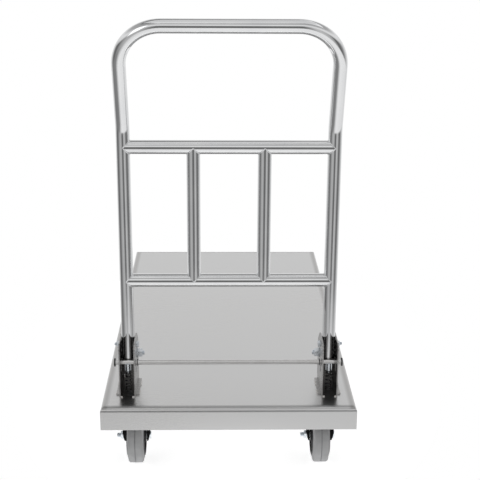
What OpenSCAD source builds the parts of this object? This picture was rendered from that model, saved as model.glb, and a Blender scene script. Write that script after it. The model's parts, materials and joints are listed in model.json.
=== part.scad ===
// Folding platform trolley in stainless steel: a flat sheet deck with a folded skirt on
// four casters, and a hoop handle that folds down onto the deck about two pivot brackets.
// Millimetres. X is across the deck, +Y runs from the handle end to the far end, +Z is up.
// The origin is on the floor, under the middle of the deck.

/* [Deck] */
// Length of the deck, from the handle end to the far end
deck_l = 1200; // [1000:10:1500]
// Width of the deck
deck_w = 608; // [580:2:800]
// Depth of the folded skirt
skirt_h = 53.5; // [44:0.5:54]
// Thickness of the deck sheet
sheet_t = 1.5; // [1:0.5:3]
// Outer radius of the folds along the deck's edges
edge_r = 8; // [4:1:12]
// Width of the lip turned inwards under the skirt
lip_w = 12; // [6:1:16]

/* [Stiffening under the deck] */
// Depth of the pressed channels
channel_h = 29; // [20:1:40]
// Thickness of their sheet
channel_t = 2.5; // [1.5:0.5:3]
// Outer width of the channel that carries a pair of casters
channel_w = 120; // [112:2:140]
// Outer width of the two long stiffeners
rib_w = 50; // [40:2:80]
// Distance of the long stiffeners from the middle of the deck
rib_x = 150; // [120:5:180]
// Width of the welding flanges on all of them
flange_w = 15; // [10:1:20]

/* [Handle] */
// Outer diameter of every handle tube
tube_d = 32; // [28:1:34]
// Wall thickness of the handle tube
tube_t = 1.5; // [1:0.5:3]
// Distance between the centres of the two uprights
handle_cc = 488; // [440:2:500]
// Distance of the uprights from the handle end of the deck
handle_inset = 126; // [110:1:150]
// Height of the bend in the uprights above the deck
kink_z = 648.5; // [620:0.5:700]
// Length of the leaning grip end, from the bend to the grip's centre
lean_l = 256; // [230:1:300]
// Radius of the hoop's two top corners
hoop_r = 95; // [70:5:120]
// Height of the lower crossbar above the deck
lower_bar_z = 279; // [220:1:340]
// Height of the upper crossbar above the deck
upper_bar_z = 603.5; // [560:0.5:615]
// Distance of the two middle bars from the centre line
mid_bar_x = 82.6; // [60:0.1:120]

/* [Fold brackets] */
// Height of the fold pivot above the deck
pivot_z = 114.5; // [112:0.5:118]
// Length of upright below the pivot
stub_l = 35.5; // [30:0.5:36]
// Thickness of the bracket sheet
wall_t = 3; // [2:0.5:4]
// Running gap between an upright and each bracket wall
wall_gap = 0.5; // [0.3:0.1:1]
// Reach of the bracket in front of the pivot
bracket_front = 58; // [50:1:64]
// Reach of the bracket behind the pivot
bracket_rear = 62; // [56:1:70]
// Height of the bracket walls
bracket_h = 134; // [130:1:140]
// Height of the bracket's rear web, below the folded handle
web_h = 98; // [80:1:98]
// Width of the foot flange along each wall
foot_w = 8; // [6:1:12]

/* [Foot release] */
// Diameter of the foot release rod
rod_d = 11; // [9:0.5:11]
// Overall length of the rod
rod_l = 556; // [550:1:580]
// Distance of the rod in front of the pivot
rod_y = 22; // [22:0.5:26]
// Height of the rod above the deck at rest
rod_z = 75.3; // [70:0.1:75.3]
// Travel of the rod when it is pressed down
rod_travel = 20; // [10:1:24]
// Outer diameter of the return springs
spring_d = 15; // [12:0.5:16]
// Wire diameter of the return springs
spring_wire = 1.8; // [1.2:0.1:2.2]
// Turns in each return spring
spring_turns = 7; // [5:1:9]

/* [Casters] */
// Overall height of a caster
caster_h = 163; // [163:1:170]
// Diameter of the wheels
wheel_d = 135; // [120:1:136]
// Width of the tyres across the tread
tread_w = 33; // [28:1:36]
// Width of the tyres where they meet the wheel core
tyre_w = 41; // [36:1:42]
// Width of the wheel core's rim
core_w = 44; // [42:1:46]
// Diameter of the wheel core inside the tyre
core_d = 100; // [90:1:110]
// Offset of the axle from the swivel axis
trail = 35; // [28:1:40]
// Distance of the casters from the middle of the deck
caster_x = 228; // [200:1:232]
// Distance of every axle from its end of the deck
axle_inset = 115; // [112:1:140]

/* [Hidden] */
$fn = 64;
deck_z = caster_h + channel_h + sheet_t;
handle_y = handle_inset - deck_l / 2;
handle_x = handle_cc / 2;
swivel_y = axle_inset + trail - deck_l / 2;
front_axle_y = swivel_y - trail;
rear_axle_y = deck_l / 2 - axle_inset;
axle_z = wheel_d / 2;
bracket_in = tube_d / 2 + wall_gap;
bracket_out = bracket_in + wall_t;

// Metric fasteners: [thread, width across flats, head height, nut height, washer diameter, washer thickness]
M8 = [8, 13, 5.3, 6.5, 16, 1.6];
M12 = [12, 19, 7.5, 10.5, 24, 2.5];

// The grip end leans towards the user by the angle whose sine is 0.352 and cosine 0.936,
// and 11/2 of the bend's reach along each tube is its radius, so all its ends are round numbers.
lean = atan2(0.352, 0.936);
kink_reach = 16;
kink_r = kink_reach * 11 / 2;

// Reach of a cut that goes right through, and the clearance of a fastener in its hole
cut = 50;
hole_gap = 0.2;
plate_hole = 8.4;

pivot_tip = 5.4;
pivot_bush_d = 14;
stop_sleeve_d = 16;
stop_gap = 0.3;
stop_y = tube_d / 2 + stop_sleeve_d / 2 + stop_gap;
stop_z = pivot_z - stub_l + 2;
stop_tip = 5;
plug_flange = 2;
plug_depth = 8;

// Rounding of a bracket's walls, where their level top ends, and how far the feet stop short
wall_corner = 15;
wall_shoulder = 20;
web_corner = 6;
foot_ends = [10, 18];
relief = [8, 4.5];

slot_d = rod_d + 0.6;
rod_end_cap = [20, 3];
rod_clip = [17, 1.5];
clip_gap = 3;
rod_tip = 1;
spring_cap_d = 16;
spring_cap_h = 15;
spring_stem = [9, 6];
spring_seat = rod_z - rod_d / 2 - spring_cap_h;

plate = [85, 105, 3];
bolt_grid = [60, 80];
plate_bolt_tip = 4;
fork_t = 3;
fork_in = 26;
fork_out = fork_in + fork_t;
fork_rim = 34;
boss_r = 15;
crown_z = 144;
crown_r = 36;
leg_top = 30;
swivel_leg = [34, 26];
hub_d = 34;
hub_w = 48;
web_t = 8;
sleeve_d = 16;
bearing = [28, 9];
core_bore = 20;
axle_tip = 9;
pin_d = 12;
pin_head = [22, 4];
run = 0.06;
ball_r = 3;
ball_ring_r = 25;
ball_z = 153;
ball_count = 20;
race_gap = 1.8;
race_low = 149.2;
race_r = 34;
race_wall = 2.5;

steel = [0.76, 0.76, 0.77];
polished = [0.84, 0.84, 0.86];
zinc = [0.72, 0.76, 0.8];
black = [0.09, 0.09, 0.1];
rubber = [0.56, 0.56, 0.57];

// ---- Helpers ----

// A cylinder along X, from x0 to x1
module rod_x(x0, x1, d) {
  translate([x0, 0, 0]) rotate([0, 90, 0]) cylinder(h = x1 - x0, d = d);
}

// A ring along X, from x0 to x1
module ring_x(x0, x1, d, bore) {
  translate([x0, 0, 0]) rotate([0, 90, 0]) difference() {
    cylinder(h = x1 - x0, d = d);
    translate([0, 0, -1]) cylinder(h = x1 - x0 + 2, d = bore);
  }
}

// A hexagonal prism along X, from x0 to x1, with an optional bore
module hex_x(x0, x1, flats, bore = 0) {
  translate([x0, 0, 0]) rotate([0, 90, 0]) difference() {
    cylinder(h = x1 - x0, d = flats / cos(30), $fn = 6);
    if (bore > 0) translate([0, 0, -1]) cylinder(h = x1 - x0 + 2, d = bore);
  }
}

// A profile drawn in the YZ plane and extruded along X, from x0 to x1
module extrude_x(x0, x1) {
  translate([x0, 0, 0]) rotate([90, 0, 90]) linear_extrude(height = x1 - x0) children();
}

// A profile drawn in the XZ plane and extruded along Y, from y0 to y1
module extrude_y(y0, y1) {
  translate([0, y1, 0]) rotate([90, 0, 0]) linear_extrude(height = y1 - y0) children();
}

// Places its children on the left, where s is -1, or on the right, where s is 1
module at_pivot(s) {
  translate([s * handle_x, handle_y, deck_z + pivot_z]) children();
}

// ---- Deck ----

// Section across the deck: a sheet of width w and depth h whose top corners have radius r
module deck_section(w, h, r) {
  translate([-w / 2, -h]) square([w, h - r]);
  translate([-w / 2 + r, -h]) square([w - 2 * r, h]);
  for (s = [-1, 1]) translate([s * (w / 2 - r), -r]) circle(r = r);
}

// A block of the deck's size less the margin m on every side, and h deep
module deck_block(m, h) {
  w = deck_w - 2 * m;
  l = deck_l - 2 * m;
  r = edge_r - m;
  translate([0, 0, deck_z - m]) intersection() {
    extrude_y(-l / 2, l / 2) deck_section(w, h, r);
    extrude_x(-w / 2, w / 2) deck_section(l, h, r);
  }
}

module deck_pan() {
  inner_w = deck_w - 2 * sheet_t;
  inner_l = deck_l - 2 * sheet_t;
  color(steel) {
    difference() {
      deck_block(0, skirt_h);
      deck_block(sheet_t, skirt_h);
    }
    translate([0, 0, deck_z - skirt_h]) difference() {
      translate([-inner_w / 2, -inner_l / 2, 0]) cube([inner_w, inner_l, sheet_t]);
      translate([-inner_w / 2 + lip_w, -inner_l / 2 + lip_w, -1])
        cube([inner_w - 2 * lip_w, inner_l - 2 * lip_w, sheet_t + 2]);
    }
  }
}

// Section of a pressed channel: web at the bottom, flanges turned outwards at the top
module channel_section(w) {
  h = channel_h;
  t = channel_t;
  wall = w / 2;
  edge = wall + flange_w;
  polygon([
    [-edge, h], [-edge, h - t], [-wall, h - t], [-wall, 0], [wall, 0], [wall, h - t],
    [edge, h - t], [edge, h], [wall - t, h], [wall - t, t], [t - wall, t], [t - wall, h]]);
}

module bolt_holes(d) {
  for (x = [-1, 1], y = [-1, 1])
    translate([x * bolt_grid[0] / 2, y * bolt_grid[1] / 2, -cut]) cylinder(h = 2 * cut, d = d);
}

module caster_channel(y) {
  half = deck_w / 2 - edge_r - 2;
  color(steel) translate([0, y, caster_h]) difference() {
    extrude_x(-half, half) channel_section(channel_w);
    for (s = [-1, 1]) translate([s * caster_x, 0, 0]) bolt_holes(plate_hole);
  }
}

module stiffener(s) {
  reach = channel_w / 2 + flange_w + 5;
  color(steel) translate([s * rib_x, 0, caster_h])
    extrude_y(swivel_y + reach, rear_axle_y - reach) channel_section(rib_w);
}

// ---- Fold brackets ----

// Side view of a bracket wall, with its foot at height 0 and the pivot over y = 0
module wall_outline() {
  hull() {
    translate([-bracket_front, 0]) square([bracket_front + bracket_rear, wall_t]);
    for (y = [wall_corner - bracket_front, wall_shoulder])
      translate([y, bracket_h - wall_corner]) circle(r = wall_corner);
    translate([bracket_rear - web_corner, web_h + web_corner / 2]) circle(r = web_corner);
  }
}

module bracket(s) {
  long = bracket_front + bracket_rear;
  color(polished) translate([s * handle_x, handle_y, deck_z]) difference() {
    union() {
      for (x = [-bracket_out, bracket_in]) extrude_x(x, x + wall_t) wall_outline();
      translate([-bracket_out, bracket_rear - wall_t, 0]) cube([2 * bracket_out, wall_t, web_h]);
      for (x = [-bracket_out - foot_w, bracket_out])
        translate([x, foot_ends[0] - bracket_front, 0]) cube([foot_w, long - foot_ends[0] - foot_ends[1], wall_t]);
    }
    translate([0, 0, pivot_z]) rod_x(-cut, cut, M8[0] + hole_gap);
    translate([0, stop_y, stop_z]) rod_x(-cut, cut, M12[0]);
    for (z = [rod_z - rod_travel, rod_z]) translate([0, -rod_y, z]) rod_x(-cut, cut, slot_d);
    translate([-cut, -rod_y - slot_d / 2, rod_z - rod_travel]) cube([2 * cut, slot_d, rod_travel]);
    for (x = [-1, 1]) translate([x * bracket_out, bracket_rear, 0])
      cylinder(h = relief[0] * 2, r = relief[1], center = true);
  }
}

// ---- Handle ----

// Section of the handle tube
module tube_section() {
  difference() {
    circle(d = tube_d);
    circle(d = tube_d - 2 * tube_t);
  }
}

// Bend that joins an upright to the leaning end, as the part of a ring between two planes
module kink_bend() {
  far = 200;
  translate([0, -kink_r, kink_z - kink_reach]) intersection() {
    rotate([90, 0, 90]) rotate_extrude() translate([kink_r, 0]) tube_section();
    extrude_x(-tube_d, tube_d) polygon([[0, 0], [far, 0], [far * cos(lean), far * sin(lean)]]);
  }
}

// Leaning part of the hoop, drawn upright from the bend: two legs, two corners and the grip
module grip_end() {
  half = handle_x - hoop_r;
  for (s = [-1, 1]) {
    translate([s * handle_x, 0, kink_reach])
      linear_extrude(height = lean_l - hoop_r - kink_reach) tube_section();
    translate([s * half, 0, lean_l - hoop_r]) rotate([90, 0, 0]) rotate([0, 0, s > 0 ? 0 : 90])
      rotate_extrude(angle = 90) translate([hoop_r, 0]) tube_section();
  }
  translate([0, 0, lean_l]) rotate([0, 90, 0])
    linear_extrude(height = 2 * half, center = true) tube_section();
}

// The whole hoop in one tube, with its feet foot_z above the deck
module hoop_tube(foot_z) {
  for (s = [-1, 1]) translate([s * handle_x, 0, 0]) {
    translate([0, 0, foot_z]) linear_extrude(height = kink_z - kink_reach - foot_z) tube_section();
    kink_bend();
  }
  translate([0, 0, kink_z]) rotate([lean, 0, 0]) grip_end();
}

module handle_hoop() {
  foot_z = pivot_z - stub_l + plug_flange;
  color(polished) translate([0, handle_y, deck_z]) difference() {
    hoop_tube(foot_z);
    for (s = [-1, 1]) translate([s * handle_x, 0, pivot_z])
      rod_x(-tube_d, tube_d, pivot_bush_d);
  }
}

// Hollow crossbar whose ends are coped to the uprights
module crossbar(z) {
  color(polished) translate([0, handle_y, deck_z + z]) difference() {
    ring_x(-handle_x, handle_x, tube_d, tube_d - 2 * tube_t);
    for (s = [-1, 1]) translate([s * handle_x, 0, -cut]) cylinder(h = 2 * cut, d = tube_d);
  }
}

// Hollow upright bar between the crossbars, coped to both
module mid_bar(s) {
  span = upper_bar_z - lower_bar_z;
  color(polished) translate([s * mid_bar_x, handle_y, deck_z + lower_bar_z]) difference() {
    cylinder(h = span, d = tube_d);
    translate([0, 0, -1]) cylinder(h = span + 2, d = tube_d - 2 * tube_t);
    for (z = [0, span]) translate([0, 0, z]) rod_x(-cut, cut, tube_d);
  }
}

module tube_plugs() {
  color(black) for (s = [-1, 1]) translate([s * handle_x, handle_y, deck_z + pivot_z - stub_l]) {
    cylinder(h = plug_flange, d = tube_d);
    translate([0, 0, plug_flange]) cylinder(h = plug_depth, d = tube_d - 2 * tube_t);
  }
}

// ---- Pivots and back stops ----

// The bolt's head is inside the trolley and its nut outside
module pivot_bolts() {
  seat = bracket_out + M8[5];
  color(zinc) for (s = [-1, 1]) at_pivot(s) mirror([s > 0 ? 0 : 1, 0, 0]) {
    hex_x(-seat - M8[2], -seat, M8[1]);
    rod_x(-seat, seat + M8[3] + pivot_tip, M8[0]);
  }
}

module pivot_nuts() {
  seat = bracket_out + M8[5];
  color(zinc) for (s = [-1, 1]) at_pivot(s) mirror([s > 0 ? 0 : 1, 0, 0])
    hex_x(seat, seat + M8[3], M8[1], M8[0]);
}

module pivot_washers() {
  color(zinc) for (s = [-1, 1]) at_pivot(s)
    for (x = [-bracket_out - M8[5], bracket_out]) ring_x(x, x + M8[5], M8[4], M8[0] + hole_gap);
}

module pivot_bushes() {
  half = bracket_in - hole_gap;
  color(black) for (s = [-1, 1]) at_pivot(s) ring_x(-half, half, pivot_bush_d, M8[0] + 2 * run);
}

// A stud welded flush into the outer wall, with its nut on the inner wall
module stop_studs() {
  color(zinc) for (s = [-1, 1]) translate([s * handle_x, handle_y + stop_y, deck_z + stop_z])
    mirror([s > 0 ? 0 : 1, 0, 0]) rod_x(-bracket_out - M12[5] - M12[3] - stop_tip, bracket_out, M12[0]);
}

module stop_nuts() {
  seat = bracket_out + M12[5];
  color(zinc) for (s = [-1, 1]) translate([s * handle_x, handle_y + stop_y, deck_z + stop_z])
    mirror([s > 0 ? 0 : 1, 0, 0]) hex_x(-seat - M12[3], -seat, M12[1], M12[0]);
}

module stop_washers() {
  color(zinc) for (s = [-1, 1]) translate([s * handle_x, handle_y + stop_y, deck_z + stop_z])
    mirror([s > 0 ? 0 : 1, 0, 0]) ring_x(-bracket_out - M12[5], -bracket_out, M12[4], M12[0]);
}

module stop_sleeves() {
  color(steel) for (s = [-1, 1]) translate([s * handle_x, handle_y + stop_y, deck_z + stop_z])
    ring_x(-bracket_in, bracket_in, stop_sleeve_d, M12[0]);
}

// ---- Foot release ----

module at_rod() {
  translate([0, handle_y - rod_y, deck_z + rod_z]) children();
}

module release_rod() {
  color(polished) at_rod() rod_x(-rod_l / 2, rod_l / 2, rod_d);
}

// End caps outside the brackets and clips inside them
module rod_retainers() {
  clip_x = handle_x - bracket_out - clip_gap - rod_clip[1];
  cap_x = rod_l / 2 - rod_tip - rod_end_cap[1];
  color(black) at_rod() for (s = [0, 1]) mirror([s, 0, 0]) {
    ring_x(cap_x, cap_x + rod_end_cap[1], rod_end_cap[0], rod_d);
    ring_x(clip_x, clip_x + rod_clip[1], rod_clip[0], rod_d);
  }
}

// Cups under the rod that carry the return springs
module spring_caps() {
  color(zinc) at_rod() for (s = [-1, 1]) translate([s * handle_x, 0, 0]) difference() {
    translate([0, 0, -rod_d / 2 - spring_cap_h]) {
      cylinder(h = spring_cap_h + rod_d / 4, d = spring_cap_d);
      translate([0, 0, -spring_stem[1]]) cylinder(h = spring_stem[1], d = spring_stem[0]);
    }
    rod_x(-spring_cap_d, spring_cap_d, rod_d);
  }
}

// Helical spring standing on the deck, with its ends held flat by closed end turns
module release_spring(s) {
  sides = 6;
  steps = 12 * spring_turns;
  pitch_r = (spring_d - spring_wire) / 2;
  low = spring_wire / 2 + 0.1;
  high = spring_seat - spring_wire / 2 - 0.1;
  function rise(k) = let (u = k / steps) low + (high - low) * (u - 0.06 * sin(360 * u));
  rings = [for (k = [0:steps]) let (a = 360 * spring_turns * k / steps)
    [for (j = [0:sides - 1]) let (b = 360 * j / sides, r = pitch_r + spring_wire / 2 * cos(b))
      [r * cos(a), r * sin(a), rise(k) + spring_wire / 2 * sin(b)]]];
  points = [for (ring = rings) each ring];
  sides_faces = [for (k = [0:steps - 1], j = [0:sides - 1]) let (n = (j + 1) % sides)
    [k * sides + j, k * sides + n, (k + 1) * sides + n, (k + 1) * sides + j]];
  ends = [[for (j = [sides - 1:-1:0]) j], [for (j = [0:sides - 1]) steps * sides + j]];
  color(zinc) translate([s * handle_x, handle_y - rod_y, deck_z])
    polyhedron(points = points, faces = concat(sides_faces, ends), convexity = 10);
}

// ---- Casters ----

module at_swivel(s) {
  translate([s * caster_x, swivel_y, 0]) children();
}

module at_front_axle(s) {
  translate([s * caster_x, front_axle_y, axle_z]) children();
}

module at_rear_axle(s) {
  translate([s * caster_x, rear_axle_y, axle_z]) children();
}

module mounting_plate() {
  difference() {
    translate([-plate[0] / 2, -plate[1] / 2, caster_h - plate[2]]) cube(plate);
    translate([0, 0, caster_h]) bolt_holes(plate_hole);
  }
}

module swivel_plate(s) {
  color(zinc) at_swivel(s) difference() {
    mounting_plate();
    translate([0, 0, axle_z]) cylinder(h = caster_h, d = pin_d);
  }
}

// Groove of the ball race
module ball_groove() {
  translate([0, 0, ball_z]) rotate_extrude() translate([ball_ring_r, 0]) circle(r = ball_r + 0.15);
}

// Upper half of the swivel bearing, with a dust skirt round the balls
module race_cup(s) {
  top = caster_h - plate[2];
  color(zinc) at_swivel(s) difference() {
    translate([0, 0, race_low]) cylinder(h = top - race_low, r = race_r);
    translate([0, 0, race_low - 1]) cylinder(h = ball_z + race_gap + 1 - race_low, r = race_r - race_wall);
    translate([0, 0, race_low]) cylinder(h = caster_h, d = pin_d);
    ball_groove();
  }
}

module swivel_balls() {
  color(steel) for (s = [-1, 1]) at_swivel(s)
    for (k = [0:ball_count - 1]) rotate([0, 0, 360 * k / ball_count])
      translate([ball_ring_r, 0, ball_z]) sphere(r = ball_r);
}

// Rivet that holds the fork to the plate
module kingpins() {
  color(zinc) for (s = [-1, 1]) at_swivel(s) {
    translate([0, 0, crown_z - 0.2 - pin_head[1]]) cylinder(h = pin_head[1], d = pin_head[0]);
    translate([0, 0, crown_z - 1]) cylinder(h = caster_h - crown_z + 1, d = pin_d);
  }
}

// Side view of a fork leg: from the boss round the axle at y = 0 up to an edge at height top
module leg_outline(front, rear, top, inset = 0) {
  hull() {
    translate([0, axle_z]) circle(r = boss_r - inset);
    translate([front + inset, top - 1]) square([rear - front - 2 * inset, 1]);
  }
}

// The pair of fork legs, each with its edges flanged outwards; the flange fades at the boss
module fork_legs(front, rear, top) {
  for (s = [0, 1]) mirror([s, 0, 0]) {
    extrude_x(fork_in, fork_out) leg_outline(front, rear, top);
    intersection() {
      extrude_x(fork_in, fork_rim) difference() {
        leg_outline(front, rear, top);
        translate([0, 1]) leg_outline(front, rear, top, fork_t);
      }
      extrude_y(front - 50, rear + 50) polygon([
        [fork_in, axle_z - boss_r], [fork_out, axle_z - boss_r + 2],
        [fork_rim, axle_z + boss_r - 5], [fork_rim, top], [fork_in, top]]);
    }
  }
}

// Fork with the lower half of the swivel bearing on its crown
module swivel_fork(s) {
  color(black) at_front_axle(s) translate([0, 0, -axle_z]) difference() {
    union() {
      fork_legs(trail - swivel_leg[0], trail + swivel_leg[1], crown_z + fork_t);
      translate([0, trail, crown_z]) intersection() {
        cylinder(h = fork_t, r = crown_r);
        translate([-fork_rim, -crown_r, 0]) cube([2 * fork_rim, 2 * crown_r, fork_t]);
      }
      translate([0, trail, crown_z + fork_t])
        cylinder(h = ball_z - race_gap - crown_z - fork_t, r = race_r - race_wall - 1);
    }
    translate([0, 0, axle_z]) rod_x(-cut, cut, M12[0] + hole_gap);
    translate([0, trail, axle_z]) cylinder(h = caster_h, d = pin_d + 2 * run);
    translate([0, trail, 0]) ball_groove();
  }
}

// Fork of a fixed caster, with its own mounting plate
module rigid_fork(s) {
  color(black) translate([s * caster_x, rear_axle_y, 0]) difference() {
    union() {
      mounting_plate();
      fork_legs(-leg_top, leg_top, caster_h - plate[2]);
    }
    translate([0, 0, axle_z]) rod_x(-cut, cut, M12[0] + hole_gap);
  }
}

// Steel tube clamped between the fork legs, on which the wheel turns
module axle_sleeve() {
  color(zinc) ring_x(-fork_in, fork_in, sleeve_d, M12[0]);
}

module axle_bolt() {
  color(zinc) {
    hex_x(fork_out, fork_out + M12[2], M12[1]);
    rod_x(-fork_out - M12[3] - axle_tip, fork_out, M12[0]);
  }
}

module axle_nut() {
  color(zinc) hex_x(-fork_out - M12[3], -fork_out, M12[1], M12[0]);
}

// Tyre section: sides that slope in to rounded shoulders, and a fine groove round the tread
module tyre() {
  shoulder = 5;
  groove = [0.8, 1.2];
  outer = wheel_d / 2;
  inner = core_d / 2;
  flat = (tread_w - shoulder) / 2 - 0.8;
  color(rubber) rotate([0, 90, 0]) rotate_extrude() difference() {
    union() {
      polygon([[inner, -tyre_w / 2], [outer - shoulder, -flat - shoulder],
        [outer - shoulder, flat + shoulder], [inner, tyre_w / 2]]);
      translate([inner, -flat]) square([outer - inner, 2 * flat]);
      for (s = [-1, 1]) translate([outer - shoulder, s * flat]) circle(r = shoulder);
    }
    translate([outer - groove[0], -groove[1] / 2]) square([2 * groove[0], groove[1]]);
  }
}

// Wheel core: rim, web with stiffening ribs, and hub bored for two bearings
module wheel_core() {
  rim_in = core_d / 2 - 5;
  rib_t = 4;
  color(black) rotate([0, 90, 0]) difference() {
    union() {
      cylinder(h = core_w, d = core_d, center = true);
      cylinder(h = hub_w, d = hub_d, center = true);
    }
    for (s = [0, 1]) mirror([0, 0, s]) translate([0, 0, web_t / 2]) difference() {
      cylinder(h = core_w, r = rim_in);
      translate([0, 0, -1]) cylinder(h = core_w + 2, d = hub_d);
      for (k = [0:5]) rotate([0, 0, 60 * k]) translate([hub_d / 2 - 2, -rib_t / 2, -1])
        cube([rim_in, rib_t, core_w / 2 - web_t / 2 - 1]);
    }
    cylinder(h = hub_w + 2, d = core_bore, center = true);
    for (s = [-1, 1]) translate([0, 0, s * (hub_w - bearing[1]) / 2])
      cylinder(h = bearing[1] + 0.01, d = bearing[0], center = true);
  }
}

module wheel_bearings() {
  color(steel) for (s = [-1, 1]) translate([s * (hub_w - bearing[1]) / 2, 0, 0])
    ring_x(-bearing[1] / 2, bearing[1] / 2, bearing[0], sleeve_d + 2 * run);
}

// Bolts of the four caster plates, headed below and nutted inside the channels
module at_caster_bolts() {
  for (s = [-1, 1], y = [swivel_y, rear_axle_y], dx = [-1, 1], dy = [-1, 1])
    translate([s * caster_x + dx * bolt_grid[0] / 2, y + dy * bolt_grid[1] / 2, caster_h]) children();
}

module caster_bolts() {
  color(zinc) at_caster_bolts() {
    translate([0, 0, -plate[2] - M8[2]]) cylinder(h = M8[2], d = M8[1] / cos(30), $fn = 6);
    translate([0, 0, -plate[2]]) cylinder(h = plate[2] + channel_t + M8[3] + plate_bolt_tip, d = M8[0]);
  }
}

module caster_nuts() {
  color(zinc) at_caster_bolts() translate([0, 0, channel_t]) difference() {
    cylinder(h = M8[3], d = M8[1] / cos(30), $fn = 6);
    translate([0, 0, -1]) cylinder(h = M8[3] + 2, d = M8[0]);
  }
}

// ---- Nodes ----

deck_pan();
caster_channel(swivel_y);  // caster_channel_front
caster_channel(rear_axle_y);  // caster_channel_rear
stiffener(-1);  // stiffener_left
stiffener(1);  // stiffener_right
bracket(-1);  // bracket_left
bracket(1);  // bracket_right
handle_hoop();
crossbar(upper_bar_z);  // crossbar_upper
crossbar(lower_bar_z);  // crossbar_lower
mid_bar(-1);  // mid_bar_left
mid_bar(1);  // mid_bar_right
tube_plugs();
pivot_bolts();
pivot_nuts();
pivot_washers();
pivot_bushes();
stop_studs();
stop_nuts();
stop_washers();
stop_sleeves();
release_rod();
rod_retainers();
spring_caps();
release_spring(-1);  // release_spring_left
release_spring(1);  // release_spring_right
swivel_plate(-1);  // swivel_plate_left
swivel_plate(1);  // swivel_plate_right
race_cup(-1);  // race_cup_left
race_cup(1);  // race_cup_right
swivel_balls();
kingpins();
swivel_fork(-1);  // swivel_fork_left
swivel_fork(1);  // swivel_fork_right
at_front_axle(-1) axle_sleeve();  // front_axle_sleeve_left
at_front_axle(1) axle_sleeve();  // front_axle_sleeve_right
at_front_axle(-1) axle_bolt();  // front_axle_bolt_left
at_front_axle(1) axle_bolt();  // front_axle_bolt_right
at_front_axle(-1) axle_nut();  // front_axle_nut_left
at_front_axle(1) axle_nut();  // front_axle_nut_right
at_front_axle(-1) tyre();  // front_tyre_left
at_front_axle(1) tyre();  // front_tyre_right
at_front_axle(-1) wheel_core();  // front_wheel_left
at_front_axle(1) wheel_core();  // front_wheel_right
at_front_axle(-1) wheel_bearings();  // front_bearings_left
at_front_axle(1) wheel_bearings();  // front_bearings_right
rigid_fork(-1);  // rigid_fork_left
rigid_fork(1);  // rigid_fork_right
for (s = [-1, 1]) at_rear_axle(s) axle_sleeve();  // rear_axle_sleeves
for (s = [-1, 1]) at_rear_axle(s) axle_bolt();  // rear_axle_bolts
for (s = [-1, 1]) at_rear_axle(s) axle_nut();  // rear_axle_nuts
at_rear_axle(-1) tyre();  // rear_tyre_left
at_rear_axle(1) tyre();  // rear_tyre_right
at_rear_axle(-1) wheel_core();  // rear_wheel_left
at_rear_axle(1) wheel_core();  // rear_wheel_right
at_rear_axle(-1) wheel_bearings();  // rear_bearings_left
at_rear_axle(1) wheel_bearings();  // rear_bearings_right
caster_bolts();
caster_nuts();
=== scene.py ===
import bmesh
import json
import math

import bpy
from mathutils import Matrix, Vector


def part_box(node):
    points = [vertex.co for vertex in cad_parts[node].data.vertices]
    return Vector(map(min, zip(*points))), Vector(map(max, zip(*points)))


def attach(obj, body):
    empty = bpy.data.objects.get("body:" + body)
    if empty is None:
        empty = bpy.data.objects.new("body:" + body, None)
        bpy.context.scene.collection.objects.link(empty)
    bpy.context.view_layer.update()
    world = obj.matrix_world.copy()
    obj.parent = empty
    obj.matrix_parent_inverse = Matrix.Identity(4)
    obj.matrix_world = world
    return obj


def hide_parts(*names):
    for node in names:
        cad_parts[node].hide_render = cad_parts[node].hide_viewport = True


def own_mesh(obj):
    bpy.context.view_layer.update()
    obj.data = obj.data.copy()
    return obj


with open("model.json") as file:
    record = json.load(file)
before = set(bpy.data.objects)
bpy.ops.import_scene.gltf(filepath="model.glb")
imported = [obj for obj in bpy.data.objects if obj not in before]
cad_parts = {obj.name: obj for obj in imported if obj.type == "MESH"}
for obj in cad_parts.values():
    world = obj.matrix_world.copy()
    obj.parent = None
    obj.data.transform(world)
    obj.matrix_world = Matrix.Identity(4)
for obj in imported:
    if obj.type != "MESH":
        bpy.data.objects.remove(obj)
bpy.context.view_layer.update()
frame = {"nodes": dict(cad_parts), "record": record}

NODES = frame["nodes"]
COLL = bpy.context.scene.collection

# Sizes repeated from the CAD, in metres
DECK_Z = 0.1935
HANDLE_Y = -0.474
HANDLE_X = 0.244
PIVOT_Z = DECK_Z + 0.1145
WALL_OUT = 0.0195
STOP_Y = HANDLE_Y + 0.0243
STOP_Z = DECK_Z + 0.081
ROD_Y = HANDLE_Y - 0.022
TUBE_R = 0.016
MID_X = 0.0826
BAR_LOW = DECK_Z + 0.279
BAR_HIGH = DECK_Z + 0.6035
CASTER_X = 0.228
FRONT_Y = -0.485
REAR_Y = 0.485
SWIVEL_Y = -0.45
AXLE_Z = 0.0675
SEAT_Z = 0.163
SHEET_T = 0.0015
FORK_OUT = 0.029

# Fasteners: shank radius, pitch, width across flats, height of the nut and its bore
M8_R, M8_PITCH, M8_FLATS, M8_NUT, M8_BORE = 0.004, 0.00125, 0.013, 0.0065, 0.0082
M12_R, M12_PITCH, M12_FLATS, M12_NUT, M12_BORE = 0.006, 0.00175, 0.019, 0.0105, 0.0122
M8_WASHER_T, M12_WASHER_T = 0.0016, 0.0025


# ---------------------------------------------------------------- materials

def tree(name):
    """New material with a principled shader."""
    mat = bpy.data.materials.new(name)
    mat.use_nodes = True
    nt = mat.node_tree
    nt.nodes.clear()
    out = nt.nodes.new("ShaderNodeOutputMaterial")
    bsdf = nt.nodes.new("ShaderNodeBsdfPrincipled")
    nt.links.new(bsdf.outputs[0], out.inputs[0])
    return mat, nt, bsdf


def coords(nt, scale):
    """Object coordinates, stretched by scale."""
    tc = nt.nodes.new("ShaderNodeTexCoord")
    mp = nt.nodes.new("ShaderNodeMapping")
    mp.inputs["Scale"].default_value = scale
    nt.links.new(tc.outputs["Object"], mp.inputs["Vector"])
    return mp.outputs[0]


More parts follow.
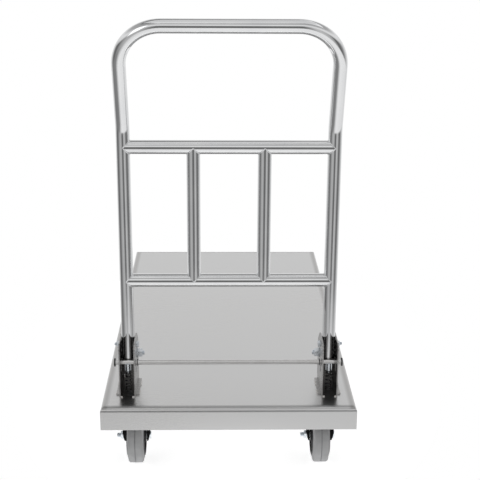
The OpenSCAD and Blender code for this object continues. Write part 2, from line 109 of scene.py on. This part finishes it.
def calc(nt, operation, a, b=0.0):
    """Result of a math node; a and b are sockets or numbers."""
    n = nt.nodes.new("ShaderNodeMath")
    n.operation = operation
    for socket, value in zip(n.inputs, (a, b)):
        if isinstance(value, float):
            socket.default_value = value
        else:
            nt.links.new(value, socket)
    return n.outputs[0]


def blend(nt, factor, a, b):
    """Colour a where factor is 0 and colour b where it is 1."""
    n = nt.nodes.new("ShaderNodeMix")
    n.data_type = "RGBA"
    for key, value in (("Factor", factor), ("A", a), ("B", b)):
        if isinstance(value, tuple):
            n.inputs[key].default_value = value
        else:
            nt.links.new(value, n.inputs[key])
    return n.outputs["Result"]


def axes(nt, vector):
    """X, Y and Z of a vector."""
    n = nt.nodes.new("ShaderNodeSeparateXYZ")
    nt.links.new(vector, n.inputs[0])
    return n.outputs["X"], n.outputs["Y"], n.outputs["Z"]


def shader_of(mat):
    return next(n for n in mat.node_tree.nodes if n.type == "BSDF_PRINCIPLED")


def noise(nt, vector, scale, detail=3.0, rough=0.5):
    n = nt.nodes.new("ShaderNodeTexNoise")
    n.inputs["Scale"].default_value = scale
    n.inputs["Detail"].default_value = detail
    n.inputs["Roughness"].default_value = rough
    nt.links.new(vector, n.inputs["Vector"])
    return n.outputs[0]


def spread(nt, value, low, high, start=0.3, stop=0.7):
    """Value taken from start..stop to low..high."""
    m = nt.nodes.new("ShaderNodeMapRange")
    m.inputs["From Min"].default_value = start
    m.inputs["From Max"].default_value = stop
    m.inputs["To Min"].default_value = low
    m.inputs["To Max"].default_value = high
    nt.links.new(value, m.inputs["Value"])
    return m.outputs[0]


def tint(nt, value, dark, light):
    """Colour between dark and light."""
    r = nt.nodes.new("ShaderNodeValToRGB")
    r.color_ramp.elements[0].position = 0.3
    r.color_ramp.elements[1].position = 0.7
    r.color_ramp.elements[0].color = (*dark, 1)
    r.color_ramp.elements[1].color = (*light, 1)
    nt.links.new(value, r.inputs[0])
    return r.outputs[0]


def bump(nt, height, strength, distance, before=None):
    b = nt.nodes.new("ShaderNodeBump")
    b.inputs["Strength"].default_value = strength
    b.inputs["Distance"].default_value = distance
    nt.links.new(height, b.inputs["Height"])
    if before is not None:
        nt.links.new(before, b.inputs["Normal"])
    return b.outputs[0]


def metal(name, dark, light, rough, grain, grain_scale, grain_bump, cloud=2.5, dents=0.0):
    """Metal with a directional grain: grain is the stretch of the noise along X, Y and Z."""
    mat, nt, bsdf = tree(name)
    fine = noise(nt, coords(nt, grain), grain_scale, 4.0, 0.6)
    broad = noise(nt, coords(nt, (1, 1, 1)), cloud, 3.0, 0.5)
    nt.links.new(tint(nt, broad, dark, light), bsdf.inputs["Base Color"])
    shine = calc(nt, "ADD", spread(nt, fine, rough[0], rough[1]), spread(nt, broad, -rough[2], rough[2]))
    nt.links.new(shine, bsdf.inputs["Roughness"])
    bsdf.inputs["Metallic"].default_value = 1.0
    normal = bump(nt, fine, grain_bump, 0.0002)
    if dents:
        normal = bump(nt, broad, dents, 0.004, normal)
    nt.links.new(normal, bsdf.inputs["Normal"])
    return mat


def plastic(name, dark, light, rough, scale, grain_bump, specular=0.5, coat=0.0, cloud=9.0):
    """Moulded or painted surface with a fine even grain."""
    mat, nt, bsdf = tree(name)
    at = coords(nt, (1, 1, 1))
    fine = noise(nt, at, scale, 5.0, 0.6)
    broad = noise(nt, at, cloud, 4.0, 0.55)
    nt.links.new(tint(nt, broad, dark, light), bsdf.inputs["Base Color"])
    nt.links.new(spread(nt, broad, rough[0], rough[1]), bsdf.inputs["Roughness"])
    bsdf.inputs["Specular IOR Level"].default_value = specular
    bsdf.inputs["Coat Weight"].default_value = coat
    bsdf.inputs["Coat Roughness"].default_value = 0.2
    nt.links.new(bump(nt, fine, grain_bump, 0.0004), bsdf.inputs["Normal"])
    return mat


SIDE_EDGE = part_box("deck_pan")[1].x
END_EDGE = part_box("deck_pan")[1].y
DECK_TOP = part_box("deck_pan")[1].z
MATS = {
    "deck_steel": metal("satin_stainless", (0.665, 0.662, 0.658), (0.69, 0.69, 0.69),
                        (0.275, 0.285, 0.010), (1.5, 160, 160), 14.0, 0.002, 1.6, 0.002),
    "polished_steel": metal("polished_stainless", (0.76, 0.765, 0.775), (0.82, 0.825, 0.83),
                            (0.06, 0.12, 0.02), (40, 40, 3), 10.0, 0.015, 14.0),
    "zinc_plate": metal("bright_zinc", (0.72, 0.76, 0.80), (0.84, 0.87, 0.90),
                        (0.18, 0.34, 0.05), (30, 30, 30), 20.0, 0.15, 160.0),
    "bearing_steel": metal("bearing_steel", (0.50, 0.50, 0.51), (0.62, 0.62, 0.63),
                           (0.18, 0.30, 0.04), (30, 30, 30), 20.0, 0.1, 90.0),
    "black_paint": plastic("black_paint", (0.006, 0.006, 0.0065), (0.012, 0.012, 0.0125),
                           (0.50, 0.62), 420.0, 0.10, 0.10, 0.0, 24.0),
    "black_plastic": plastic("black_nylon", (0.018, 0.018, 0.019), (0.030, 0.030, 0.031),
                             (0.42, 0.56), 1400.0, 0.18, 0.45, 0.0, 60.0),
    "wheel_plastic": plastic("wheel_nylon", (0.024, 0.024, 0.026), (0.042, 0.042, 0.044),
                             (0.45, 0.62), 1100.0, 0.2, 0.4, 0.0, 40.0),
    "grey_rubber": plastic("grey_rubber", (0.335, 0.337, 0.341), (0.41, 0.411, 0.414),
                           (0.62, 0.80), 900.0, 0.25, 0.3, 0.0, 28.0),
}


def deck_edges(mat):
    """The sheet dips a little before its end folds, and its top has painted shade along each side edge."""
    dip_start, dip_depth = 0.576, 11.0
    edge_shade_start, edge_shade_stop = 0.020, 0.012
    nt, bsdf = mat.node_tree, shader_of(mat)
    x, y, z = axes(nt, coords(nt, (1, 1, 1)))

    past = calc(nt, "MAXIMUM", calc(nt, "SUBTRACT", calc(nt, "ABSOLUTE", y), dip_start), 0.0)
    dip = calc(nt, "MULTIPLY", calc(nt, "POWER", past, 2.0), -dip_depth)
    before = bsdf.inputs["Normal"].links[0].from_socket
    nt.links.new(bump(nt, dip, 1.0, 1.0, before), bsdf.inputs["Normal"])

    # painted shade: the base colour of the top is darkened along each side edge
    edge_shade = spread(nt, calc(nt, "ABSOLUTE", x), 0.0, 1.0, SIDE_EDGE - edge_shade_start, SIDE_EDGE - edge_shade_stop)
    top = spread(nt, z, 0.0, 1.0, DECK_TOP - 0.002, DECK_TOP - 0.001)
    colour = bsdf.inputs["Base Color"].links[0].from_socket
    nt.links.new(blend(nt, calc(nt, "MULTIPLY", edge_shade, top), colour, (0.50, 0.495, 0.49, 1)),
                 bsdf.inputs["Base Color"])


deck_edges(MATS["deck_steel"])
SLOT_OF = {s["node"]: s["material_slot"] for s in frame["record"]["subparts"]}
for name, obj in NODES.items():
    mat = MATS[SLOT_OF[name]]
    if not obj.material_slots:
        obj.data.materials.append(mat)
    for i in range(len(obj.material_slots)):
        obj.material_slots[i].material = mat


def from_middle(nt, middle):
    """Sideways distance from the middle of the part, for a pair of parts at +middle and -middle."""
    x = axes(nt, coords(nt, (1, 1, 1)))[0]
    return calc(nt, "ABSOLUTE", calc(nt, "SUBTRACT", calc(nt, "ABSOLUTE", x), middle))


def groove_shade(mat):
    """Painted shade in the fine groove round the middle of each tread."""
    nt, bsdf = mat.node_tree, shader_of(mat)
    # painted shade: a dark line of base colour along the groove
    groove_shade_mask = spread(nt, from_middle(nt, CASTER_X), 1.0, 0.0, 0.0008, 0.0013)
    colour = bsdf.inputs["Base Color"].links[0].from_socket
    nt.links.new(blend(nt, groove_shade_mask, colour, (0.23, 0.23, 0.235, 1)), bsdf.inputs["Base Color"])


groove_shade(MATS["grey_rubber"])


def bracket_metal():
    """Plate ground bright outside and on its edges, with painted shade on the channel's inner faces."""
    mat, nt, bsdf = tree("bracket_plate")
    at = coords(nt, (1, 1, 1))
    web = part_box("bracket_left")[1].y
    # painted shade: masks of the inner faces between the walls and in front of the web
    between_walls = spread(nt, from_middle(nt, HANDLE_X), 1.0, 0.0, 0.0166, 0.0169)
    before_web = spread(nt, axes(nt, at)[1], 1.0, 0.0, web - 0.0026, web - 0.0020)
    streak = noise(nt, coords(nt, (8, 8, 60)), 12.0, 4.0, 0.6)
    bright = tint(nt, streak, (0.34, 0.335, 0.33), (0.44, 0.435, 0.43))
    # painted shade colour for the channel's inner faces
    dark = tint(nt, noise(nt, at, 45.0, 4.0, 0.6), (0.15, 0.146, 0.143), (0.22, 0.215, 0.21))
    nt.links.new(blend(nt, calc(nt, "MULTIPLY", between_walls, before_web), bright, dark),
                 bsdf.inputs["Base Color"])
    nt.links.new(spread(nt, streak, 0.22, 0.34), bsdf.inputs["Roughness"])
    bsdf.inputs["Metallic"].default_value = 1.0
    nt.links.new(bump(nt, streak, 0.05, 0.0002), bsdf.inputs["Normal"])
    return mat


BRACKET = bracket_metal()
for name in ("bracket_left", "bracket_right"):
    for slot in NODES[name].material_slots:
        slot.material = BRACKET
ROD = metal("rod_steel", (0.72, 0.71, 0.70), (0.78, 0.775, 0.77), (0.10, 0.16, 0.02),
            (4, 60, 60), 14.0, 0.015, 30.0)
NODES["release_rod"].material_slots[0].material = ROD
SPRING = metal("spring_wire", (0.10, 0.10, 0.105), (0.16, 0.16, 0.165), (0.28, 0.4, 0.04),
               (30, 30, 30), 20.0, 0.1, 60.0)
WELD = metal("weld_metal", (0.52, 0.50, 0.47), (0.74, 0.73, 0.71), (0.22, 0.42, 0.05),
             (30, 30, 30), 22.0, 0.3, 120.0)


# ---------------------------------------------------------------- mesh helpers

def make(name, verts, faces, mat, slot, body, smooth=35, replaces=()):
    """Piece from vertices and faces, smooth up to an angle, that rides on a body."""
    me = bpy.data.meshes.new(name)
    me.from_pydata([tuple(v) for v in verts], [], faces)
    me.update()
    bm = bmesh.new()
    bm.from_mesh(me)
    bmesh.ops.recalc_face_normals(bm, faces=bm.faces)
    limit = math.radians(smooth)
    for f in bm.faces:
        f.smooth = True
    for e in bm.edges:
        e.smooth = len(e.link_faces) == 2 and e.calc_face_angle(0) < limit
    bm.to_mesh(me)
    bm.free()
    me.materials.append(mat)
    obj = bpy.data.objects.new(name, me)
    COLL.objects.link(obj)
    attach(obj, body)
    if replaces:
        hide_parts(*replaces)
    return obj


class Shape:
    """Vertices and faces gathered from several pieces of one kind."""

    def __init__(self):
        self.v = []
        self.f = []

    def grid(self, rows, closed=True, caps=False):
        """Skin over rows of points, where closed rows are rings."""
        base = len(self.v)
        n = len(rows[0])
        for row in rows:
            self.v.extend(row)
        for i in range(len(rows) - 1):
            for j in range(n if closed else n - 1):
                k = (j + 1) % n
                self.f.append((base + i * n + j, base + i * n + k,
                               base + (i + 1) * n + k, base + (i + 1) * n + j))
        if caps:
            self.f.append(tuple(base + j for j in range(n))[::-1])
            self.f.append(tuple(base + (len(rows) - 1) * n + j for j in range(n)))


def lathe(shape, profile, place, sides=48, loop=False):
    """Turn (along, radius) points about the local X axis, then move them by the matrix place."""
    rows = []
    for a, r in profile:
        rows.append([place @ Vector((a, r * math.cos(t), r * math.sin(t)))
                     for t in (2 * math.pi * k / sides for k in range(sides))])
    if loop:
        rows.append(rows[0])
    shape.grid(rows, True, not loop)


def hex_radius(angle, flats):
    """Distance from the middle of a hexagon to its outline at an angle."""
    step = math.radians(60)
    return flats / 2 / math.cos((angle + step / 2) % step - step / 2)


def hexagon(shape, x0, x1, flats, bore, place, chamfer=(True, True), sides=72):
    """Hexagonal head or nut along local X, with turned chamfers on its ends and an optional bore."""
    ring = flats * 0.475
    angles = [2 * math.pi * k / sides for k in range(sides)]
    h = x1 - x0

    def row(x, radii):
        return [place @ Vector((x, r * math.cos(t), r * math.sin(t))) for r, t in zip(radii, angles)]

    full = [hex_radius(t, flats) for t in angles]
    drop = [min(h * 0.3, max(0.0, (r - ring) * 0.5)) for r in full]
    rows = []
    inner = bore / 2 if bore else 1e-5
    lead = 0.0006 if bore else 0.0
    rows.append(row(x0 + lead, [inner] * sides))
    if bore:
        rows.append(row(x0, [inner + lead] * sides))
    rows.append(row(x0, [ring] * sides))
    edge0 = [x0 + (d if chamfer[0] else 0.0) for d in drop]
    edge1 = [x1 - (d if chamfer[1] else 0.0) for d in drop]
    for edge in (edge0, edge1):
        rows.append([place @ Vector((x, r * math.cos(t), r * math.sin(t)))
                     for x, r, t in zip(edge, full, angles)])
    rows.append(row(x1, [ring] * sides))
    if bore:
        rows.append(row(x1, [inner + lead] * sides))
    rows.append(row(x1 - lead, [inner] * sides))
    if bore:
        rows.append(rows[0])
    shape.grid(rows, True, not bore)


def thread(shape, x0, x1, d, pitch, place, sides=36):
    """Screw thread along local X between x0 and x1, ending in a chamfer at x1."""
    crest, root = d / 2, d / 2 - 0.55 * pitch
    span = abs(x1 - x0)
    sign = 1 if x1 > x0 else -1
    steps = max(6, int(span / pitch * 8))
    rows = []
    for i in range(steps + 1):
        a = span * i / steps
        row = []
        for k in range(sides):
            t = 2 * math.pi * k / sides
            u = (a / pitch - k / sides) % 1.0
            r = root + (crest - root) * (1 - abs(2 * u - 1))
            r = min(r, crest - max(0.0, a - span + 0.9 * pitch) * 0.8)
            row.append(place @ Vector((x0 + sign * a, r * math.cos(t), r * math.sin(t))))
        rows.append(row)
    shape.grid(rows, True, True)


def at(x, y, z, flip=False):
    """Place with local X along world X, or mirrored."""
    m = Matrix.Translation((x, y, z))
    return m @ Matrix.Scale(-1, 4, (1, 0, 0)) if flip else m


def along_z(x, y, z):
    """Local X points down world -Z, so that fasteners are drawn from their heads."""
    return Matrix.Translation((x, y, z)) @ Matrix.Rotation(math.radians(90), 4, "Y")


def sweep(shape, points, radius, sides=8, wobble=0.0, closed=False):
    """Bead of round section along the points, with an even ripple when wobble is set."""
    n = len(points)
    rows = []
    for i, p in enumerate(points):
        a = points[(i - 1) % n] if closed or i > 0 else points[i]
        b = points[(i + 1) % n] if closed or i < n - 1 else points[i]
        t = (Vector(b) - Vector(a)).normalized()
        up = Vector((0, 0, 1)) if abs(t.z) < 0.9 else Vector((0, 1, 0))
        s = t.cross(up).normalized()
        w = s.cross(t).normalized()
        r = radius * (1 + wobble * math.sin(i * 1.9))
        if not closed and i in (0, n - 1):
            r *= 0.45
        rows.append([Vector(p) + (s * math.cos(q) + w * math.sin(q)) * r
                     for q in (2 * math.pi * k / sides for k in range(sides))])
    if closed:
        rows.append(rows[0])
    shape.grid(rows, True, not closed)


def line(a, b, step):
    """Points from a to b, about step apart."""
    a, b = Vector(a), Vector(b)
    n = max(2, int((b - a).length / step))
    return [a.lerp(b, i / n) for i in range(n + 1)]


# ---------------------------------------------------------------- fasteners

def emit(shape, name, mat, slot, body, **more):
    """Piece made from a gathered shape; mat is a material or the name of one."""
    return make(name, shape.v, shape.f, MATS[mat] if isinstance(mat, str) else mat, slot, body, **more)


def zinc(shape, name, body, node):
    """Zinc-plated piece that stands in for a CAD node."""
    emit(shape, name, "zinc_plate", "zinc_plate", body, replaces=(node,))


def washer(shape, x, bore, outer, thick, corner, place, sides):
    """Flat washer from x along local X, with its outer corners broken."""
    profile = [(0, bore), (0, outer - corner), (corner, outer), (thick - corner, outer),
               (thick, outer - corner), (thick, bore)]
    lathe(shape, [(x + a, r) for a, r in profile], place, sides, True)


def pivots():
    bolts, nuts, washers = Shape(), Shape(), Shape()
    seat = WALL_OUT + M8_WASHER_T
    head, tail = 0.0053, 0.0054
    for side in (-1, 1):
        m = at(side * HANDLE_X, HANDLE_Y, PIVOT_Z, side < 0)
        hexagon(bolts, -seat - head, -seat, M8_FLATS, 0, m, (True, False))
        lathe(bolts, [(-seat, M8_R), (seat + M8_NUT, M8_R)], m, 36)
        thread(bolts, seat + M8_NUT, seat + M8_NUT + tail, 2 * M8_R, M8_PITCH, m)
        hexagon(nuts, seat, seat + M8_NUT, M8_FLATS, M8_BORE, m)
        for x in (-seat, seat - M8_WASHER_T):
            washer(washers, x, 0.0041, 0.008, M8_WASHER_T, 0.0003, m, 48)
    zinc(bolts, "pivot_bolts_threaded", "chassis", "pivot_bolts")
    zinc(nuts, "pivot_nuts_chamfered", "chassis", "pivot_nuts")
    zinc(washers, "pivot_washers_rounded", "chassis", "pivot_washers")


def stops():
    studs, nuts, washers = Shape(), Shape(), Shape()
    seat = WALL_OUT + M12_WASHER_T
    end, tail = 0.0004, 0.005
    for side in (-1, 1):
        m = at(side * HANDLE_X, STOP_Y, STOP_Z, side < 0)
        out = -seat - M12_NUT
        lathe(studs, [(out, M12_R), (WALL_OUT - end, M12_R), (WALL_OUT, M12_R - end)], m, 48)
        thread(studs, out, out - tail, 2 * M12_R, M12_PITCH, m, 48)
        hexagon(nuts, out, -seat, M12_FLATS, M12_BORE, m)
        washer(washers, -seat, 0.0061, 0.012, M12_WASHER_T, 0.0004, m, 60)
    zinc(studs, "stop_studs_threaded", "chassis", "stop_studs")
    zinc(nuts, "stop_nuts_chamfered", "chassis", "stop_nuts")
    zinc(washers, "stop_washers_rounded", "chassis", "stop_washers")


def axle(bolt, nut, x, y):
    """Bolt and nut through a fork, with the head on the outer side of the right fork."""
    m = at(x, y, AXLE_Z)
    head, tail = 0.0075, 0.009
    hexagon(bolt, FORK_OUT, FORK_OUT + head, M12_FLATS, 0, m, (False, True))
    lathe(bolt, [(-FORK_OUT - M12_NUT, M12_R), (FORK_OUT, M12_R)], m, 48)
    thread(bolt, -FORK_OUT - M12_NUT, -FORK_OUT - M12_NUT - tail, 2 * M12_R, M12_PITCH, m, 48)
    hexagon(nut, -FORK_OUT - M12_NUT, -FORK_OUT, M12_FLATS, M12_BORE, m)


def axles():
    for side, x in (("left", -CASTER_X), ("right", CASTER_X)):
        bolt, nut = Shape(), Shape()
        axle(bolt, nut, x, FRONT_Y)
        zinc(bolt, f"front_axle_bolt_{side}_threaded", f"swivel_{side}", f"front_axle_bolt_{side}")
        zinc(nut, f"front_axle_nut_{side}_chamfered", f"swivel_{side}", f"front_axle_nut_{side}")
    bolts, nuts = Shape(), Shape()
    for x in (-CASTER_X, CASTER_X):
        axle(bolts, nuts, x, REAR_Y)
    zinc(bolts, "rear_axle_bolts_threaded", "chassis", "rear_axle_bolts")
    zinc(nuts, "rear_axle_nuts_chamfered", "chassis", "rear_axle_nuts")


def caster_bolts():
    bolts, nuts = Shape(), Shape()
    half_x, half_y = 0.03, 0.04
    under, over, head, tail = 0.003, 0.009, 0.0053, 0.004
    spots = [(x + dx, y + dy) for x in (-CASTER_X, CASTER_X) for y in (SWIVEL_Y, REAR_Y)
             for dx in (-half_x, half_x) for dy in (-half_y, half_y)]
    for x, y in spots:
        m = along_z(x, y, SEAT_Z)
        hexagon(bolts, under, under + head, M8_FLATS, 0, m, (False, True))
        lathe(bolts, [(-over, M8_R), (under, M8_R)], m, 24)
        thread(bolts, -over, -over - tail, 2 * M8_R, M8_PITCH, m, 24)
        hexagon(nuts, -over, -over + M8_NUT, M8_FLATS, M8_BORE, m)
    zinc(bolts, "caster_bolts_threaded", "chassis", "caster_bolts")
    zinc(nuts, "caster_nuts_chamfered", "chassis", "caster_nuts")


# ---------------------------------------------------------------- springs

def springs():
    """Return springs round the rod's line of travel, with closer turns at both ends."""
    low, seat = DECK_Z + 0.001, DECK_Z + 0.0548
    wire, coil, turns, steps, sides = 0.0009, 0.0066, 7, 30, 12
    total = turns * steps
    for name, x in (("left", -HANDLE_X), ("right", HANDLE_X)):
        rows = []
        for k in range(total + 1):
            u = k / total
            a = 2 * math.pi * turns * u
            z = low + (seat - low - 0.001) * (u - 0.06 * math.sin(2 * math.pi * u))
            middle = Vector((x, ROD_Y, z))
            out = Vector((math.cos(a), math.sin(a), 0))
            rows.append([middle + out * (coil + wire * math.cos(b)) + Vector((0, 0, wire * math.sin(b)))
                         for b in (2 * math.pi * j / sides for j in range(sides))])
        s = Shape()
        s.grid(rows, True, True)
        piece = emit(s, f"return_spring_{name}", SPRING, "zinc_plate", "chassis", smooth=60,
                     replaces=(f"release_spring_{name}",))
        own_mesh(piece)


# ---------------------------------------------------------------- welds

def saddle(side_x, bar_z, facing):
    """Points of the joint between a crossbar and an upright, on the side that faces along X."""
    pts = []
    for k in range(96):
        t = 2 * math.pi * k / 96
        y, z = TUBE_R * math.cos(t), TUBE_R * math.sin(t)
        pts.append((side_x + facing * math.sqrt(max(0.0, TUBE_R ** 2 - y ** 2)), HANDLE_Y + y, bar_z + z))
    return pts


def stub_saddle(x, bar_z, facing):
    """Points of the joint between a middle bar and a crossbar, on the side that faces along Z."""
    pts = []
    for k in range(96):
        t = 2 * math.pi * k / 96
        dx, y = TUBE_R * math.sin(t), TUBE_R * math.cos(t)
        pts.append((x + dx, HANDLE_Y + y, bar_z + facing * math.sqrt(max(0.0, TUBE_R ** 2 - y ** 2))))
    return pts


def handle_welds():
    s = Shape()
    for z in (BAR_LOW, BAR_HIGH):
        for side in (-1, 1):
            sweep(s, saddle(side * HANDLE_X, z, -side), 0.0014, 8, 0.08, True)
    for x in (-MID_X, MID_X):
        sweep(s, stub_saddle(x, BAR_LOW, 1), 0.0013, 8, 0.08, True)
        sweep(s, stub_saddle(x, BAR_HIGH, -1), 0.0013, 8, 0.08, True)
    emit(s, "handle_weld_beads", MATS["polished_steel"], "polished_steel", "handle", smooth=70)


def bracket_welds():
    s = Shape()
    for side in (-1, 1):
        middle = side * HANDLE_X
        for edge in (-1, 1):
            # two beads along each foot
            x = middle + edge * 0.0272
            for y0, y1 in ((-0.044, -0.024), (0.006, 0.028)):
                z = DECK_Z + 0.0006
                sweep(s, line((x, HANDLE_Y + y0, z), (x, HANDLE_Y + y1, z), 0.0012), 0.0019, 8, 0.16)
            # corner tacks at the front foot and behind the rear web
            x = middle + edge * 0.014
            for dy, half, dz in ((-0.0585, 0.003, 0.0008), (0.0565, 0.004, 0.0012)):
                y, z = HANDLE_Y + dy, DECK_Z + dz
                sweep(s, line((x - half, y, z), (x + half, y, z), 0.001), 0.0024, 10, 0.1)
        # bead along the foot of the rear web
        y, z = HANDLE_Y + 0.0625, DECK_Z + 0.0006
        sweep(s, line((middle - 0.014, y, z), (middle + 0.014, y, z), 0.0012), 0.0017, 8, 0.16)
    emit(s, "bracket_weld_beads", WELD, "polished_steel", "chassis", smooth=70)


def corner_seams():
    """Closed seams down the four corners of the skirt."""
    s = Shape()
    inset, top, bottom = 0.0009, 0.0095, 0.053
    for sx in (-1, 1):
        for sy in (-1, 1):
            x, y = sx * (SIDE_EDGE - inset), sy * (END_EDGE - inset)
            sweep(s, line((x, y, DECK_Z - top), (x, y, DECK_Z - bottom), 0.002), 0.0008, 8, 0.05)
    emit(s, "deck_corner_seams", MATS["deck_steel"], "deck_steel", "chassis", smooth=70)


def stitch_welds():
    """Short beads along the flanges of the channels and the stiffeners."""
    s = Shape()
    half = 0.012
    z = DECK_Z - SHEET_T - 0.0008
    ends = []
    for y in (SWIVEL_Y, REAR_Y):
        for edge in (-1, 1):
            flange = y + edge * 0.0755
            ends += [((x - half, flange, z), (x + half, flange, z)) for x in (-0.24, -0.12, 0.0, 0.12, 0.24)]
    for x in (-0.15, 0.15):
        for edge in (-1, 1):
            flange = x + edge * 0.0405
            ends += [((flange, y - half, z), (flange, y + half, z))
                     for y in (-0.33, -0.18, -0.03, 0.12, 0.27, 0.37)]
    for a, b in ends:
        sweep(s, line(a, b, 0.0014), 0.0018, 8, 0.18)
    emit(s, "deck_stitch_welds", WELD, "deck_steel", "chassis", smooth=70)


# ---------------------------------------------------------------- wheels

def ring(shape, x, side, profile, place, sides):
    """Turned ring at x on one side of a wheel; the profile runs outwards from x."""
    lathe(shape, [(x + side * a, r) for a, r in profile], place, sides, True)


def wheel_details():
    """Pressed shields over the bearings, and a moulded rib round each side wall."""
    shield = [(0, 0.0086), (0.0003, 0.0092), (-0.0003, 0.0102), (-0.0003, 0.0122),
              (0.0002, 0.0132), (0, 0.0137), (-0.0008, 0.0137), (-0.0008, 0.0086)]
    rib = [(-0.0012, 0.0535), (0, 0.0538), (0.0006, 0.0546), (0.0006, 0.0556),
           (-0.0002, 0.0564), (-0.0014, 0.0567)]
    for end, y in (("front", FRONT_Y), ("rear", REAR_Y)):
        for hand, x in (("left", -CASTER_X), ("right", CASTER_X)):
            m = at(x, y, AXLE_Z)
            shields, ribs = Shape(), Shape()
            for side in (-1, 1):
                ring(shields, side * 0.0241, side, shield, m, 60)
                ring(ribs, side * 0.0196, side, rib, m, 96)
            name, body = f"{end}_{hand}", f"wheel_{end}_{hand}"
            emit(shields, f"bearing_shields_{name}", "bearing_steel", "bearing_steel", body)
            emit(ribs, f"tyre_side_ribs_{name}", "grey_rubber", "grey_rubber", body, smooth=60)


pivots()
stops()
axles()
caster_bolts()
springs()
handle_welds()
bracket_welds()
corner_seams()
stitch_welds()
wheel_details()


# ---------------------------------------------------------------- stage

def floor():
    """White floor under the trolley, bright enough to merge with the backdrop."""
    n, rx, ry = 96, 0.62, 0.95
    angles = [2 * math.pi * k / n for k in range(n)]
    verts = [(rx * math.cos(t), ry * math.sin(t) + 0.10, 0.0) for t in angles]
    me = bpy.data.meshes.new("studio_floor")
    me.from_pydata(verts, [], [tuple(range(n))])
    mat, nt, bsdf = tree("studio_floor")
    nt.links.new(tint(nt, noise(nt, coords(nt, (1, 1, 1)), 3.0), (0.93, 0.93, 0.93), (0.95, 0.95, 0.95)),
                 bsdf.inputs["Base Color"])
    bsdf.inputs["Roughness"].default_value = 0.9
    bsdf.inputs["Specular IOR Level"].default_value = 0.1
    bsdf.inputs["Emission Color"].default_value = (1, 1, 1, 1)
    bsdf.inputs["Emission Strength"].default_value = 0.62
    me.materials.append(mat)
    obj = bpy.data.objects.new("studio_floor", me)
    COLL.objects.link(obj)


def area(name, pos, target, size, watts):
    """Rectangular light at pos, aimed at target."""
    data = bpy.data.lights.new(name, "AREA")
    data.shape = "RECTANGLE"
    data.size, data.size_y = size
    data.energy = watts
    obj = bpy.data.objects.new(name, data)
    obj.location = pos
    obj.rotation_euler = (Vector(target) - Vector(pos)).to_track_quat("-Z", "Y").to_euler()
    COLL.objects.link(obj)


def studio():
    """The room: white behind the trolley and darker elsewhere, with a plain white backdrop.

    The metal reflects the room, and only the camera sees the backdrop.
    """
    world = bpy.data.worlds.new("studio")
    bpy.context.scene.world = world
    world.use_nodes = True
    nt = world.node_tree
    nt.nodes.clear()
    out = nt.nodes.new("ShaderNodeOutputWorld")
    tc = nt.nodes.new("ShaderNodeTexCoord")
    x, y, z = axes(nt, tc.outputs["Generated"])
    # direction round the trolley from the handle end, and the sine of the height, both taken to 0..1
    azimuth = calc(nt, "ARCTAN2", x, calc(nt, "MULTIPLY", y, -1.0))
    turn = spread(nt, azimuth, 0.0, 1.0, -math.pi, math.pi)
    level = spread(nt, z, 0.0, 1.0, -1.0, 1.0)

    def ramp(stops, value):
        r = nt.nodes.new("ShaderNodeValToRGB")
        el = r.color_ramp.elements
        while len(el) > 1:
            el.remove(el[-1])
        el[0].position = stops[0][0]
        el[0].color = (stops[0][1],) * 3 + (1,)
        for p, c in stops[1:]:
            e = el.new(p)
            e.color = (c, c, c, 1)
        nt.links.new(value, r.inputs[0])
        return r.outputs[0]

    def deg(a):
        return (a + 180) / 360

    band = ramp([(deg(-180), 0.9), (deg(-125), 0.80), (deg(-104), 0.24), (deg(-82), 0.13), (deg(-64), 0.30),
                 (deg(-42), 0.50), (deg(-22), 0.50), (deg(-8), 0.16), (deg(8), 0.16), (deg(22), 0.62),
                 (deg(42), 0.46), (deg(60), 0.12), (deg(80), 0.24), (deg(106), 0.60), (deg(130), 0.85),
                 (deg(180), 0.9)], turn)
    # how far the banded walls reach up and down, and the calmer room above and below them
    share = ramp([(0.0, 0.0), (0.28, 0.0), (0.335, 1.0), (0.54, 1.0), (0.62, 0.0), (1.0, 0.0)], level)
    high = ramp([(0.5, 0.70), (0.66, 0.84), (0.69, 0.90), (0.72, 0.80), (0.82, 0.45), (0.90, 0.42),
                 (0.935, 0.14), (1.0, 0.10)], level)
    low = ramp([(deg(-180), 0.8), (deg(-135), 0.6), (deg(-100), 0.22), (deg(-50), 0.26), (deg(-16), 0.82),
                (deg(0), 0.95), (deg(40), 0.92), (deg(180), 0.8)], turn)
    calm = blend(nt, calc(nt, "LESS_THAN", level, 0.5), high, low)
    room = nt.nodes.new("ShaderNodeBackground")
    nt.links.new(blend(nt, share, calm, band), room.inputs["Color"])
    room.inputs["Strength"].default_value = 1.0
    backdrop = nt.nodes.new("ShaderNodeBackground")
    backdrop.inputs["Color"].default_value = (1, 1, 1, 1)
    backdrop.inputs["Strength"].default_value = 1.0
    path = nt.nodes.new("ShaderNodeLightPath")
    pick = nt.nodes.new("ShaderNodeMixShader")
    nt.links.new(path.outputs["Is Camera Ray"], pick.inputs[0])
    nt.links.new(room.outputs[0], pick.inputs[1])
    nt.links.new(backdrop.outputs[0], pick.inputs[2])
    nt.links.new(pick.outputs[0], out.inputs[0])


def camera():
    data = bpy.data.cameras.new("camera")
    data.sensor_width = 36.0
    data.lens = 80.88
    obj = bpy.data.objects.new("camera", data)
    obj.location = (-0.0259, -2.9060, 1.3400)
    pitch, yaw, roll = math.radians(17.504), math.radians(1.232), math.radians(0.355)
    obj.rotation_euler = (Matrix.Rotation(-yaw, 3, "Z") @ Matrix.Rotation(math.pi / 2 - pitch, 3, "X")
                          @ Matrix.Rotation(roll, 3, "Z")).to_euler()
    COLL.objects.link(obj)
    bpy.context.scene.camera = obj


bpy.context.scene.view_settings.view_transform = "Standard"
floor()
studio()
area("overhead_softbox", (0.3, -0.6, 3.2), (0, 0, 0.2), (3.0, 2.4), 14.0)
area("camera_side_fill", (-1.9, -2.6, 1.9), (0, -0.4, 0.4), (1.2, 1.6), 5.0)
camera()
